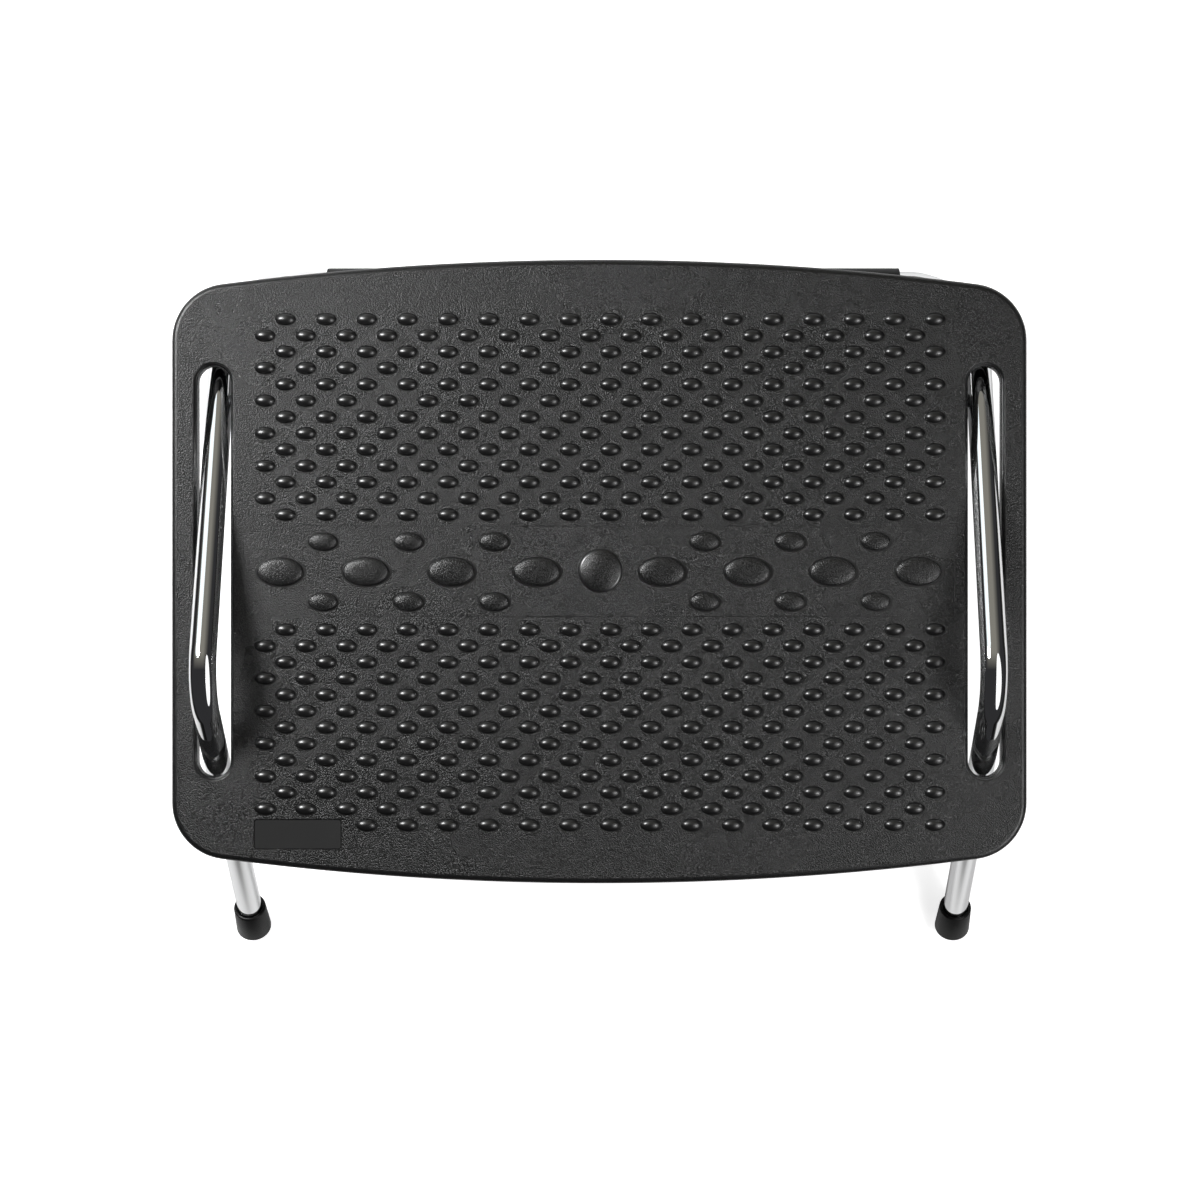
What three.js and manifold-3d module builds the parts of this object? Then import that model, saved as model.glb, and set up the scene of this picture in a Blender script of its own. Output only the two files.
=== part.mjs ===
// Tilting footrest for under a desk.
// A ribbed plastic board with massage bumps hangs on a cross axle between the two side loops
// of one bent, chrome plated steel tube. The tube's loops pass up through two slots of the board.
// The floor bar wears a black sleeve, and each leg ends in a rubber cap.
//
// Millimetres, +Z up. +X is the right of the board, +Y points to the heel side, where the floor
// bar lies, and -Y to the raised toe side, where the legs stand. The board leans 15 degrees at
// rest and turns further about the cross axle, heel side down. The origin is on the floor under
// the middle of the whole object.

import * as THREE from 'three';
import { ConvexGeometry } from 'three/addons/geometries/ConvexGeometry.js';
import { mergeVertices } from 'three/addons/utils/BufferGeometryUtils.js';
import Module from 'manifold-3d';

const wasm = await Module();
wasm.setup();

// Fits and tooling shared by every piece
const fitGap = 0.3;
const cutOverrun = 2;
const weldTolerance = 0.0001;

// Frame tube
const tubeDiameter = 14;
const tubeWall = 1.5;
const loopSlope = THREE.MathUtils.degToRad(36.2);
const loopPeakHeight = 145.2;
const loopBendRadius = 30;
const cornerBendRadius = 37;
const bendSteps = 7;
const tubeSides = 16;

// Floor bar sleeve
const sleeveDiameter = 17.5;
const bareBarLeft = 17.9;
const bareBarRight = 3.9;
const sleeveSides = 24;

// Foot caps
const capBaseDiameter = 20;
const capRimDiameter = 18.2;
const capLength = 22;
const capFloor = 4;
const capEdgeRound = 1;
const capRimRound = 0.6;
const capSides = 20;
const capRoundSteps = 3;
const capSettle = 0.5;

// Cross axle
const axleDiameter = 8;
const axleHeight = 50;
const axleSides = 16;

// Board moulding
const boardTilt = THREE.MathUtils.degToRad(15);
const boardWidth = 450.2;
const boardDepth = 328.6;
const boardEdgeBow = 1550;
const boardCornerRadius = 30;
const boardThickness = 3;
const boardEdgeRound = 3.5;
const skirtDepth = 20;
const skirtWall = 3;
const hingeReach = 90.8;
const hingeDepth = 19;
const edgeRoundSteps = 3;
const bowSteps = 10;
const cornerSteps = 6;

// Slots for the side loops
const slotWidth = 17.6;
const slotEdgeMargin = 13.4;
const slotRimWall = 2.4;
const slotRimDepth = 10;
const slotStopGap = 0.5;
const slotEndSteps = 10;

// Ribs under the board
const ribThickness = 2;
const ribDepth = 9;
const ribRowPitch = 44;
const ribColumnPitch = 60;
const endRibOffset = 8;

// Small massage bumps, in two blocks of staggered rows
const bumpLength = 10.8;
const bumpWidth = 6.6;
const bumpHeight = 1.6;
const bumpPitch = 21.35;
const bumpRowPitch = 8.56;
const bumpFirstRow = 30.2;
const bumpEdgeMargin = 14;
const bumpSideMargin = 7;
const bumpRoot = 0.3;
const bumpRimPoints = 6;
const bumpCrestShare = 0.4;

// Larger bumps of the middle band
const bigBumpLength = 25;
const bigBumpWidth = 15.5;
const bigBumpHeight = 1.8;
const bigBumpFirst = 32.9;
const bigBumpPitch = 45;
const midBumpLength = 16;
const midBumpWidth = 10;
const midBumpHeight = 1.6;
const midBumpRow = 15.8;
const centreBumpDiameter = 22.6;
const flatTopShare = 0.72;
const bigRimPoints = 12;
const midRimPoints = 8;

// Smooth bare panel at the toe side's left corner
const panelLength = 46.5;
const panelWidth = 16.3;
const panelCorner = 2;
const panelSink = 0.3;
const panelSideInset = 66.5;
const panelToeInset = 26.1;
const panelMargin = 1;

// Bearings of the cross axle under the board
const bearingInset = 52.9;
const bearingLength = 26;
const bearingSpan = 38;
const bearingWall = 3.2;
const bearingFlange = 3.5;
const bearingArcSteps = 10;
const screwSpread = 13;
const screwDiameter = 3.2;
const screwHeadDiameter = 7;
const screwHeadHeight = 2.2;
const screwLength = 15;
const screwTip = 2.5;
const screwSides = 12;

// Places worked out from the sizes above
const tubeRadius = tubeDiameter / 2;
const loopX = (boardWidth - slotWidth) / 2 - slotEdgeMargin;
const bearingX = loopX - bearingInset;
const barHalfLength = loopX - cornerBendRadius;
const sleeveLength = 2 * barHalfLength - bareBarLeft - bareBarRight;
const sleeveOffset = (bareBarLeft - bareBarRight) / 2;
const sleeveRadius = sleeveDiameter / 2;
const panelX = panelSideInset - boardWidth / 2;
const panelY = panelToeInset - boardDepth / 2;
const axleRadius = axleDiameter / 2;
const barHeight = sleeveRadius * Math.cos(Math.PI / sleeveSides);
const barRun = (loopPeakHeight - barHeight) / Math.tan(loopSlope);
const axleRun = (loopPeakHeight - axleHeight) / Math.tan(loopSlope);

// Cap outline from its base centre out to the rim and down the socket, turned about the leg
const capProfile = [new THREE.Vector2(0, 0)];
for (let step = 0; step <= capRoundSteps; step += 1) {
  const turn = (Math.PI / 2) * (step / capRoundSteps);
  capProfile.push(new THREE.Vector2(
    capBaseDiameter / 2 - capEdgeRound + capEdgeRound * Math.sin(turn),
    capEdgeRound - capEdgeRound * Math.cos(turn),
  ));
}
capProfile.push(new THREE.Vector2(capRimDiameter / 2, capLength - capRimRound));
capProfile.push(new THREE.Vector2(capRimDiameter / 2 - capRimRound, capLength));
capProfile.push(new THREE.Vector2(tubeRadius + fitGap, capLength));
capProfile.push(new THREE.Vector2(tubeRadius + fitGap, capFloor));
capProfile.push(new THREE.Vector2(0, capFloor));

// The caps stand square to the legs, so each rests on the lower edge of its base, which has
// settled to a small flat.
const capEdgeShare = Math.cos(Math.PI / capSides);
const capReach = Math.max(...capProfile.map((point) => (
  point.x * capEdgeShare * Math.cos(loopSlope) - point.y * Math.sin(loopSlope)
)));
const capBaseHeight = capReach - capSettle;
const capRun = (loopPeakHeight - capBaseHeight) / Math.tan(loopSlope);
const legEndSetback = capFloor + fitGap;

// The board's own frame: its middle on the top face, turned about X by its tilt at rest
const boardTurn = new THREE.Matrix4().makeRotationX(-boardTilt);
const hingeInBoard = new THREE.Vector3(0, hingeReach, -hingeDepth);
const hingeFromCentre = hingeInBoard.clone().applyMatrix4(boardTurn);
const boardCentre = new THREE.Vector3(0, axleRun, axleHeight).sub(hingeFromCentre);
const peakInBoard = new THREE.Vector3(0, 0, loopPeakHeight).sub(boardCentre)
  .applyMatrix4(boardTurn.clone().invert());

// The slots end just clear of the legs at the foot of their rims, which is the board's stop.
const legAngleInBoard = loopSlope + boardTilt;
const legAtRimFoot = peakInBoard.y - (peakInBoard.z + slotRimDepth) / Math.tan(legAngleInBoard);
const slotHalfLength = tubeRadius / Math.sin(legAngleInBoard) + slotStopGap - legAtRimFoot;

// The bumps fill the board between its slots, and out to the bowed edge at the outermost ones.
const bumpReachX = loopX - slotWidth / 2 - bumpSideMargin;
const bumpRoomX = bumpReachX - bumpLength / 2 - bumpPitch / 4;
const bumpsPerRow = Math.floor((2 * bumpRoomX) / bumpPitch) + 1;
const bigBumpRoom = bumpReachX - bigBumpLength / 2 - bigBumpFirst;
const bigBumpPairs = Math.floor(bigBumpRoom / bigBumpPitch) + 1;
const bowDrop = boardEdgeBow - Math.sqrt(boardEdgeBow ** 2 - bumpReachX ** 2);
const bumpReachY = boardDepth / 2 - bowDrop - bumpEdgeMargin;
const bumpRoomY = bumpReachY - bumpWidth / 2 - bumpFirstRow;
const bumpRows = Math.floor(bumpRoomY / bumpRowPitch) + 1;

function toSolid(geometry) {
  const bare = geometry.clone();
  bare.deleteAttribute('normal');
  bare.deleteAttribute('uv');
  const merged = mergeVertices(bare, weldTolerance);
  const triangles = [];
  for (let start = 0; start < merged.index.count; start += 3) {
    const corners = [0, 1, 2].map((offset) => merged.index.getX(start + offset));
    if (new Set(corners).size === 3) {
      triangles.push(...corners);
    }
  }
  return new wasm.Manifold(new wasm.Mesh({
    numProp: 3,
    vertProperties: new Float32Array(merged.attributes.position.array),
    triVerts: new Uint32Array(triangles),
  }));
}

function fromSolid(solid) {
  const mesh = solid.getMesh();
  const geometry = new THREE.BufferGeometry();
  geometry.setAttribute('position', new THREE.BufferAttribute(new Float32Array(mesh.vertProperties), 3));
  geometry.setIndex(new THREE.BufferAttribute(new Uint32Array(mesh.triVerts), 1));
  geometry.computeVertexNormals();
  return geometry;
}

function boxSolid(width, depth, height, x, y, z) {
  return toSolid(new THREE.BoxGeometry(width, depth, height).translate(x, y, z));
}

// A flat shape stretched between two heights
function slab(shape, low, high, curveSegments) {
  const depth = high - low;
  const geometry = new THREE.ExtrudeGeometry(shape, { depth, bevelEnabled: false, curveSegments });
  return toSolid(geometry.translate(0, 0, low));
}

// A shape drawn in a side view, Y across and Z up, stretched along X about a middle
function alongX(shape, length, x, curveSegments) {
  const geometry = new THREE.ExtrudeGeometry(shape, { depth: length, bevelEnabled: false, curveSegments });
  geometry.translate(0, 0, -length / 2);
  const toSideView = new THREE.Matrix4().makeBasis(
    new THREE.Vector3(0, 1, 0),
    new THREE.Vector3(0, 0, 1),
    new THREE.Vector3(1, 0, 0),
  );
  return geometry.applyMatrix4(toSideView).translate(x, 0, 0);
}

function makeMesh(name, geometry, colour, roughness, metalness) {
  const material = new THREE.MeshStandardMaterial({ color: colour, roughness, metalness });
  const mesh = new THREE.Mesh(geometry, material);
  mesh.name = name;
  return mesh;
}

// A centre line of straight runs joined by round bends. Its stations sit close together in the
// bends and only at the ends of the straights.
class BentRoute extends THREE.Curve {
  constructor(corners, radii, steps) {
    super();
    this.stations = [corners[0].clone()];
    this.headings = [corners[1].clone().sub(corners[0]).normalize()];
    for (let index = 1; index < corners.length - 1; index += 1) {
      this.addBend(corners[index - 1], corners[index], corners[index + 1], radii[index - 1], steps);
    }
    this.stations.push(corners[corners.length - 1].clone());
    this.headings.push(this.headings[this.headings.length - 1].clone());
  }

  addBend(before, corner, after, radius, steps) {
    const inward = corner.clone().sub(before).normalize();
    const outward = after.clone().sub(corner).normalize();
    const turn = inward.angleTo(outward);
    const side = outward.clone().addScaledVector(inward, -Math.cos(turn)).normalize();
    const start = corner.clone().addScaledVector(inward, -radius * Math.tan(turn / 2));
    for (let step = 0; step <= steps; step += 1) {
      const angle = turn * (step / steps);
      const station = start.clone().addScaledVector(inward, radius * Math.sin(angle));
      station.addScaledVector(side, radius * (1 - Math.cos(angle)));
      const heading = inward.clone().multiplyScalar(Math.cos(angle)).addScaledVector(side, Math.sin(angle));
      this.stations.push(station);
      this.headings.push(heading);
    }
  }

  getUtoTmapping(u) {
    return u;
  }

  getPoint(t, target = new THREE.Vector3()) {
    const place = t * (this.stations.length - 1);
    const index = Math.min(Math.floor(place), this.stations.length - 2);
    return target.lerpVectors(this.stations[index], this.stations[index + 1], place - index);
  }

  getTangent(t, target = new THREE.Vector3()) {
    const index = Math.round(t * (this.stations.length - 1));
    return target.copy(this.headings[index]);
  }
}

function makeFrameTube() {
  const legEndRun = capRun - legEndSetback * Math.cos(loopSlope);
  const legEndHeight = capBaseHeight + legEndSetback * Math.sin(loopSlope);
  const corners = [
    new THREE.Vector3(-loopX, -legEndRun, legEndHeight),
    new THREE.Vector3(-loopX, 0, loopPeakHeight),
    new THREE.Vector3(-loopX, barRun, barHeight),
    new THREE.Vector3(loopX, barRun, barHeight),
    new THREE.Vector3(loopX, 0, loopPeakHeight),
    new THREE.Vector3(loopX, -legEndRun, legEndHeight),
  ];
  const radii = [loopBendRadius, cornerBendRadius, cornerBendRadius, loopBendRadius];
  const route = new BentRoute(corners, radii, bendSteps);
  const section = new THREE.Shape().absarc(0, 0, tubeRadius, 0, 2 * Math.PI, false);
  section.holes.push(new THREE.Path().absarc(0, 0, tubeRadius - tubeWall, 0, 2 * Math.PI, true));
  const geometry = new THREE.ExtrudeGeometry(section, {
    steps: route.stations.length - 1,
    extrudePath: route,
    curveSegments: tubeSides / 2,
  });
  return makeMesh('frame_tube', geometry, 0xd8dadc, 0.08, 1);
}

function makeSleeve() {
  const bore = tubeRadius + fitGap;
  const profile = [
    new THREE.Vector2(bore, -sleeveLength / 2),
    new THREE.Vector2(sleeveRadius, -sleeveLength / 2),
    new THREE.Vector2(sleeveRadius, sleeveLength / 2),
    new THREE.Vector2(bore, sleeveLength / 2),
    new THREE.Vector2(bore, -sleeveLength / 2),
  ];
  const halfSide = Math.PI / sleeveSides;
  const geometry = new THREE.LatheGeometry(profile, sleeveSides, halfSide);
  const sleeve = makeMesh('floor_bar_sleeve', geometry, 0x1c1c1d, 0.55, 0);
  sleeve.rotation.z = -Math.PI / 2;
  sleeve.position.set(sleeveOffset, barRun, barHeight);
  return sleeve;
}

function makeFootCap(side) {
  const name = side < 0 ? 'foot_cap_left' : 'foot_cap_right';
  const halfSide = Math.PI / capSides;
  const whole = new THREE.LatheGeometry(capProfile, capSides, halfSide).rotateX(loopSlope);
  const blockSize = 2 * capBaseDiameter;
  const blockMiddle = -capBaseHeight - blockSize / 2;
  const ground = boxSolid(blockSize, blockSize, blockSize, 0, 0, blockMiddle);
  const geometry = fromSolid(toSolid(whole).subtract(ground));
  const cap = makeMesh(name, geometry, 0x202021, 0.7, 0);
  cap.position.set(side * loopX, -capRun, capBaseHeight);
  return cap;
}

function makeCrossAxle() {
  const length = 2 * (loopX - tubeRadius - fitGap);
  const geometry = new THREE.CylinderGeometry(axleRadius, axleRadius, length, axleSides);
  const axle = makeMesh('cross_axle', geometry, 0xb9bcc0, 0.3, 1);
  axle.rotation.z = -Math.PI / 2;
  axle.position.set(0, axleRun, axleHeight);
  return axle;
}

// The board's outline drawn in by an inset: long edges on a wide arc, short edges straight
function boardOutline(inset) {
  const bow = boardEdgeBow - inset;
  const corner = boardCornerRadius - inset;
  const bowCentre = boardDepth / 2 - boardEdgeBow;
  const cornerX = boardWidth / 2 - boardCornerRadius;
  const cornerY = bowCentre + Math.sqrt((bow - corner) ** 2 - cornerX ** 2);
  const lean = Math.atan2(cornerX, cornerY - bowCentre);
  const points = [];
  const addArc = (x, y, radius, from, to, steps) => {
    for (let step = 0; step < steps; step += 1) {
      const angle = from + (to - from) * (step / steps);
      points.push(new THREE.Vector2(x + radius * Math.cos(angle), y + radius * Math.sin(angle)));
    }
  };
  const quarter = Math.PI / 2;
  addArc(cornerX, cornerY, corner, 0, quarter - lean, cornerSteps);
  addArc(0, bowCentre, bow, quarter - lean, quarter + lean, bowSteps);
  addArc(-cornerX, cornerY, corner, quarter + lean, 2 * quarter, cornerSteps);
  addArc(-cornerX, -cornerY, corner, 2 * quarter, 3 * quarter - lean, cornerSteps);
  addArc(0, -bowCentre, bow, 3 * quarter - lean, 3 * quarter + lean, bowSteps);
  addArc(cornerX, -cornerY, corner, 3 * quarter + lean, 4 * quarter, cornerSteps);
  return new THREE.Shape(points);
}

// A slot's outline with full round ends, grown by a margin
function slotOutline(x, margin) {
  const radius = slotWidth / 2 + margin;
  const straight = slotHalfLength - slotWidth / 2;
  const shape = new THREE.Shape();
  shape.absarc(x, straight, radius, 0, Math.PI, false);
  shape.absarc(x, -straight, radius, Math.PI, 2 * Math.PI, false);
  shape.closePath();
  return shape;
}

function panelOutline() {
  const left = panelX - panelLength / 2;
  const right = panelX + panelLength / 2;
  const low = panelY - panelWidth / 2;
  const high = panelY + panelWidth / 2;
  const shape = new THREE.Shape();
  shape.absarc(right - panelCorner, high - panelCorner, panelCorner, 0, Math.PI / 2, false);
  shape.absarc(left + panelCorner, high - panelCorner, panelCorner, Math.PI / 2, Math.PI, false);
  shape.absarc(left + panelCorner, low + panelCorner, panelCorner, Math.PI, 1.5 * Math.PI, false);
  shape.absarc(right - panelCorner, low + panelCorner, panelCorner, 1.5 * Math.PI, 2 * Math.PI, false);
  shape.closePath();
  return shape;
}

// A low dome on an oval rim that roots a little below the top face. Its top is a crest line or,
// with a top share, a smaller oval.
function bumpGeometry(length, width, height, rimPoints, topShare, crest) {
  const points = [];
  const topLength = length * topShare;
  const topWidth = crest ? 0 : width * topShare;
  const rootLength = length + (length - topLength) * (bumpRoot / height);
  const rootWidth = width + (width - topWidth) * (bumpRoot / height);
  for (let index = 0; index < rimPoints; index += 1) {
    const angle = 2 * Math.PI * (index / rimPoints);
    const across = Math.cos(angle) / 2;
    const along = Math.sin(angle) / 2;
    points.push(new THREE.Vector3(rootLength * across, rootWidth * along, -bumpRoot));
    if (!crest) {
      points.push(new THREE.Vector3(topLength * across, topWidth * along, height));
    }
  }
  if (crest) {
    points.push(new THREE.Vector3(-topLength / 2, 0, height));
    points.push(new THREE.Vector3(topLength / 2, 0, height));
  }
  return new ConvexGeometry(points);
}

// The smooth panel takes the place of the bumps that would lie on it.
function clearOfPanel(x, y) {
  const besideX = Math.abs(x - panelX) - (panelLength + bumpLength) / 2;
  const besideY = Math.abs(y - panelY) - (panelWidth + bumpWidth) / 2;
  return Math.max(besideX, besideY) > -panelMargin;
}

function makeBumps() {
  const small = toSolid(bumpGeometry(
    bumpLength, bumpWidth, bumpHeight, bumpRimPoints, bumpCrestShare, true,
  ));
  const big = toSolid(bumpGeometry(
    bigBumpLength, bigBumpWidth, bigBumpHeight, bigRimPoints, flatTopShare, false,
  ));
  const middle = toSolid(bumpGeometry(
    midBumpLength, midBumpWidth, midBumpHeight, midRimPoints, flatTopShare, false,
  ));
  const centre = toSolid(bumpGeometry(
    centreBumpDiameter, centreBumpDiameter, bigBumpHeight, bigRimPoints, flatTopShare, false,
  ));
  const bumps = [centre];
  for (const block of [-1, 1]) {
    for (let row = 0; row < bumpRows; row += 1) {
      const y = block * (bumpFirstRow + row * bumpRowPitch);
      const shift = (row % 2 === 0 ? 1 : -1) * (bumpPitch / 4);
      for (let index = 0; index < bumpsPerRow; index += 1) {
        const x = (index - (bumpsPerRow - 1) / 2) * bumpPitch + shift;
        if (clearOfPanel(x, y)) {
          bumps.push(small.translate([x, y, 0]));
        }
      }
    }
  }
  for (const side of [-1, 1]) {
    for (let index = 0; index < bigBumpPairs; index += 1) {
      const x = side * (bigBumpFirst + index * bigBumpPitch);
      bumps.push(big.translate([x, 0, 0]));
      if (index > 0) {
        const between = x - side * (bigBumpPitch / 2);
        bumps.push(middle.translate([between, midBumpRow, 0]));
        bumps.push(middle.translate([between, -midBumpRow, 0]));
      }
    }
  }
  return wasm.Manifold.union(bumps);
}

// Upright screw hole through a bearing, from a low height to a high one
function screwHole(x, y, low, high) {
  const radius = screwDiameter / 2 + fitGap;
  const geometry = new THREE.CylinderGeometry(radius, radius, high - low, screwSides);
  geometry.rotateX(Math.PI / 2);
  return toSolid(geometry.translate(x, y, (low + high) / 2));
}

function axleBore(x) {
  const radius = axleRadius + fitGap;
  const length = bearingLength + cutOverrun;
  const geometry = new THREE.CylinderGeometry(radius, radius, length, 2 * bearingArcSteps);
  geometry.rotateZ(Math.PI / 2);
  return toSolid(geometry.translate(x, hingeReach, -hingeDepth));
}

// What stays standing inside the hollow underside: ribs, slot rims and bearing saddles
function makeUndersideWalls() {
  const walls = [];
  const top = cutOverrun;
  const ribHeight = ribDepth + top;
  const ribMiddle = top - ribHeight / 2;
  const rowLength = 2 * (loopX - slotWidth / 2 - slotRimWall / 2);
  for (const row of [-2, -1, 0, 1]) {
    walls.push(boxSolid(rowLength, ribThickness, ribHeight, 0, row * ribRowPitch, ribMiddle));
  }
  const endRow = slotHalfLength + slotRimWall + endRibOffset;
  for (const side of [-1, 1]) {
    walls.push(boxSolid(boardWidth, ribThickness, ribHeight, 0, side * endRow, ribMiddle));
    walls.push(slab(slotOutline(side * loopX, slotRimWall), -slotRimDepth, top, slotEndSteps));
  }
  for (const column of [-2, -1, 0, 1, 2]) {
    walls.push(boxSolid(ribThickness, boardDepth, ribHeight, column * ribColumnPitch, 0, ribMiddle));
  }
  const saddleFoot = fitGap / 2 - hingeDepth;
  for (const side of [-1, 1]) {
    walls.push(boxSolid(
      bearingLength, bearingSpan, top - saddleFoot, side * bearingX, hingeReach, (top + saddleFoot) / 2,
    ));
  }
  return wasm.Manifold.union(walls);
}

function makeFootboard() {
  const bodyShape = boardOutline(boardEdgeRound);
  const bodyGeometry = new THREE.ExtrudeGeometry(bodyShape, {
    depth: skirtDepth,
    bevelEnabled: true,
    bevelThickness: boardEdgeRound,
    bevelSize: boardEdgeRound,
    bevelSegments: edgeRoundSteps,
  });
  bodyGeometry.translate(0, 0, -skirtDepth - boardEdgeRound);
  const below = skirtDepth;
  const trim = boxSolid(2 * boardWidth, 2 * boardDepth, below, 0, 0, -skirtDepth - below / 2);
  let board = toSolid(bodyGeometry).subtract(trim);

  const hollow = slab(boardOutline(skirtWall), -skirtDepth - cutOverrun, -boardThickness, cornerSteps);
  board = board.subtract(hollow.subtract(makeUndersideWalls()));
  board = board.add(makeBumps());

  const cuts = [slab(panelOutline(), -panelSink, bumpHeight + cutOverrun, 2)];
  for (const side of [-1, 1]) {
    cuts.push(slab(slotOutline(side * loopX, 0), -slotRimDepth - cutOverrun, cutOverrun, slotEndSteps));
    cuts.push(axleBore(side * bearingX));
    for (const end of [-1, 1]) {
      const y = hingeReach + end * screwSpread;
      cuts.push(screwHole(side * bearingX, y, -hingeDepth - cutOverrun, -boardThickness - fitGap));
    }
  }
  board = board.subtract(wasm.Manifold.union(cuts));
  return makeMesh('footboard', fromSolid(board), 0x3a3a3b, 0.6, 0);
}

// A cap that closes a saddle round the axle: a flange each side of a half round shell
function makeBearingCap(side) {
  const name = side < 0 ? 'bearing_cap_left' : 'bearing_cap_right';
  const bore = axleRadius + fitGap;
  const shell = bore + bearingWall;
  const top = -fitGap / 2;
  const reach = Math.asin(bearingFlange / shell);
  const shape = new THREE.Shape();
  shape.moveTo(-bearingSpan / 2, top);
  shape.lineTo(-bearingSpan / 2, -bearingFlange);
  shape.absarc(0, 0, shell, Math.PI + reach, 2 * Math.PI - reach, false);
  shape.lineTo(bearingSpan / 2, -bearingFlange);
  shape.lineTo(bearingSpan / 2, top);
  const dip = Math.asin(-top / bore);
  shape.absarc(0, 0, bore, -dip, dip - Math.PI, true);
  shape.closePath();
  const block = toSolid(alongX(shape, bearingLength, side * bearingX, bearingArcSteps / 2)
    .translate(0, hingeReach, -hingeDepth));
  const low = -hingeDepth - bearingFlange - cutOverrun;
  const high = -hingeDepth + cutOverrun;
  const holes = [-1, 1].map((end) => screwHole(side * bearingX, hingeReach + end * screwSpread, low, high));
  const geometry = fromSolid(block.subtract(wasm.Manifold.union(holes)));
  return makeMesh(name, geometry, 0x2a2a2b, 0.6, 0);
}

// A pan head screw, drawn upwards from the underside of its head's crown to its tip
function makeBearingScrew(side, end) {
  const name = `bearing_screw_${side < 0 ? 'left' : 'right'}_${end < 0 ? 'toe' : 'heel'}`;
  const headRadius = screwHeadDiameter / 2;
  const shankRadius = screwDiameter / 2;
  const profile = [
    new THREE.Vector2(0, 0),
    new THREE.Vector2(headRadius - screwHeadHeight / 2, 0),
    new THREE.Vector2(headRadius, screwHeadHeight / 2),
    new THREE.Vector2(headRadius, screwHeadHeight),
    new THREE.Vector2(shankRadius, screwHeadHeight),
    new THREE.Vector2(shankRadius, screwHeadHeight + screwLength - screwTip),
    new THREE.Vector2(0, screwHeadHeight + screwLength),
  ];
  const screw = makeMesh(name, new THREE.LatheGeometry(profile, screwSides), 0x8f9296, 0.35, 1);
  screw.rotation.x = Math.PI / 2;
  const headFoot = -hingeDepth - bearingFlange - fitGap / 2 - screwHeadHeight;
  screw.position.set(side * bearingX, hingeReach + end * screwSpread, headFoot);
  return screw;
}

const stand = new THREE.Group();
stand.add(makeFrameTube());
stand.add(makeSleeve());
stand.add(makeCrossAxle());

const board = new THREE.Group();
board.position.copy(boardCentre);
board.rotation.x = -boardTilt;
board.add(makeFootboard());

for (const side of [-1, 1]) {
  stand.add(makeFootCap(side));
  board.add(makeBearingCap(side));
  for (const end of [-1, 1]) {
    board.add(makeBearingScrew(side, end));
  }
}

// The whole object is moved so that the origin is under its middle, on the floor.
const footrest = new THREE.Group();
footrest.add(stand);
footrest.add(board);
footrest.updateMatrixWorld(true);
const extent = new THREE.Box3().setFromObject(footrest, true);
const middle = extent.getCenter(new THREE.Vector3());
footrest.position.set(0, -middle.y, -extent.min.z);
footrest.updateMatrixWorld(true);

export default footrest;
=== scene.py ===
# %% [markdown]
# # A tilting footrest for under a desk
# The real object is a black plastic board that hangs between the two side loops of one bent
# chrome tube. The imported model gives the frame: every size and place below is taken from it or
# repeated from it, and each piece made here moves with one of its bodies.

# %% Load the frame
import math

import bmesh
import bpy
from mathutils import Matrix, Vector


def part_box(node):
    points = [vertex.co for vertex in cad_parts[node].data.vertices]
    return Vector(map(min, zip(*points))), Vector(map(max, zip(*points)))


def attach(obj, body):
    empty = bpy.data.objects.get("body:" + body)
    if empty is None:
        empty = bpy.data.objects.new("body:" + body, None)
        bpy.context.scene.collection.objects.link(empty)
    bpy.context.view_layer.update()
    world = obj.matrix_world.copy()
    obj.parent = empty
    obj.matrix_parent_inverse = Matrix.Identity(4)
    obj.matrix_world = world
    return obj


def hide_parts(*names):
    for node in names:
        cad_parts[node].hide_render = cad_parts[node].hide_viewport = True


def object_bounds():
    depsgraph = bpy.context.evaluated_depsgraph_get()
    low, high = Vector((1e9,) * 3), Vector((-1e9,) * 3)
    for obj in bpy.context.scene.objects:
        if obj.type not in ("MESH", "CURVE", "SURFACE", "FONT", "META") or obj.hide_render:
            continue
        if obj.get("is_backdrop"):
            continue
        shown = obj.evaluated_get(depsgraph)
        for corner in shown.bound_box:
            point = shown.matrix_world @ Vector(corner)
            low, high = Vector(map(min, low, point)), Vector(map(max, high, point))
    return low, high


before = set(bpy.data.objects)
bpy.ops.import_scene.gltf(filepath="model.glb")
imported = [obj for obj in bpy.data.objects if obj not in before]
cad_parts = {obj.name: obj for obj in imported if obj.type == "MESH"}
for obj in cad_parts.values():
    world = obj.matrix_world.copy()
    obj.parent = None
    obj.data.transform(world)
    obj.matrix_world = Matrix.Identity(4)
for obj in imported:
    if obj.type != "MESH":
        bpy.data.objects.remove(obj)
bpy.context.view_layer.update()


def rounded(values, places=4):
    return tuple(round(value, places) for value in values)


# %% [markdown]
# ## Where things are
# The board leans 15 degrees, so it is easiest to draw it flat, in millimetres, with its own
# middle as the origin, and to lay it in place at the end with one matrix. The axle's place in
# the frame fixes that matrix, so board and axle can't drift apart.

# %% Places of the board and the bars
MM = 0.001
TILT = math.radians(15)
HINGE_ON_BOARD = Vector((0, 90.8, -19))


def middle_of(node):
    low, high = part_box(node)
    return (low + high) / 2


axle_middle = middle_of("cross_axle") / MM
bar_middle = middle_of("floor_bar_sleeve") / MM
board_turn = Matrix.Rotation(-TILT, 4, "X")
board_middle = axle_middle - board_turn @ HINGE_ON_BOARD
to_metres = Matrix.Scale(MM, 4)
board_place = to_metres @ Matrix.Translation(board_middle) @ board_turn
print("board's middle in mm:", rounded(board_middle, 2))

# %% [markdown]
# ## Camera
# The photograph was taken from straight above the board, square onto its tilted top, from about
# 1.3 m. The camera hangs on the board's normal. A small shift of the lens, not a turn, moves
# the picture so that its lines stay parallel as they do in the photograph.

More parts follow.
